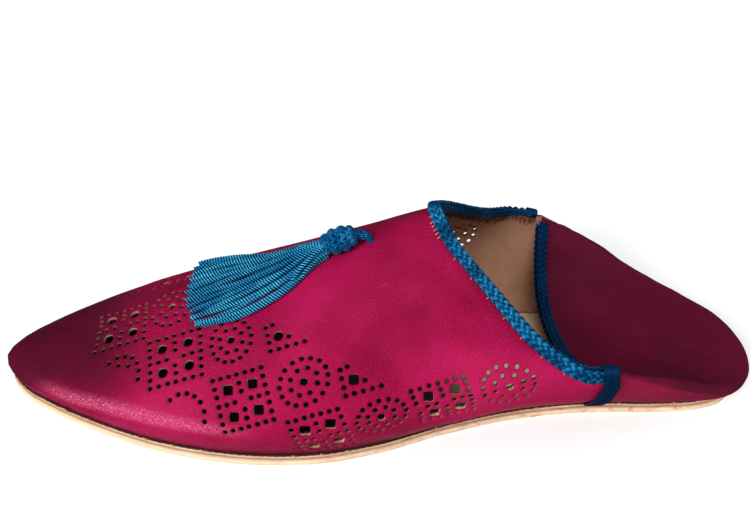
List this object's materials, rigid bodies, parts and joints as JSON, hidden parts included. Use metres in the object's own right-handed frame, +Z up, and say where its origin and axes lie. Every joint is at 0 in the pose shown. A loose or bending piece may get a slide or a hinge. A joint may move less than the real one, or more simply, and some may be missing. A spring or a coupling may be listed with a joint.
{
  "type": "babouche slipper",
  "caption": "Heelless leather slipper with a pointed toe, a punched vamp, a braided collar, a cord tassel on the instep and its back folded flat.",
  "frame": {"origin": "on the floor under the middle of the slipper's bounding box, on its left-right mirror plane", "axes": "+Z up from the floor, -X towards the pointed toe, +X towards the heel, +Y across the slipper"},
  "size_m": [0.2764, 0.1088, 0.0731],
  "materials": {
    "sole_leather": "pale veg-tanned sole leather, raw cut edge",
    "welt_leather": "thin pinkish-brown leather layer between sole and upper",
    "sock_leather": "pale beige smooth sock leather",
    "upper_leather": "magenta dyed goat leather with a fine grain and a soft sheen, tan lining inside",
    "lining_leather": "tan brown lining leather",
    "braid_cord": "plaited blue rayon cord with a silky sheen",
    "tassel_cord": "twisted turquoise rayon cord with a silky sheen",
    "stitch_thread": "waxed natural thread"
  },
  "bodies": {
    "root": {"outsole": "sole_leather", "midsole": "welt_leather", "insole": "sock_leather", "upper": "upper_leather", "collar_braid": "braid_cord", "flap_braid": "braid_cord", "tassel_skirt": "tassel_cord", "tassel_head": "tassel_cord", "tassel_loop": "tassel_cord"}
  },
  "joints": []
}
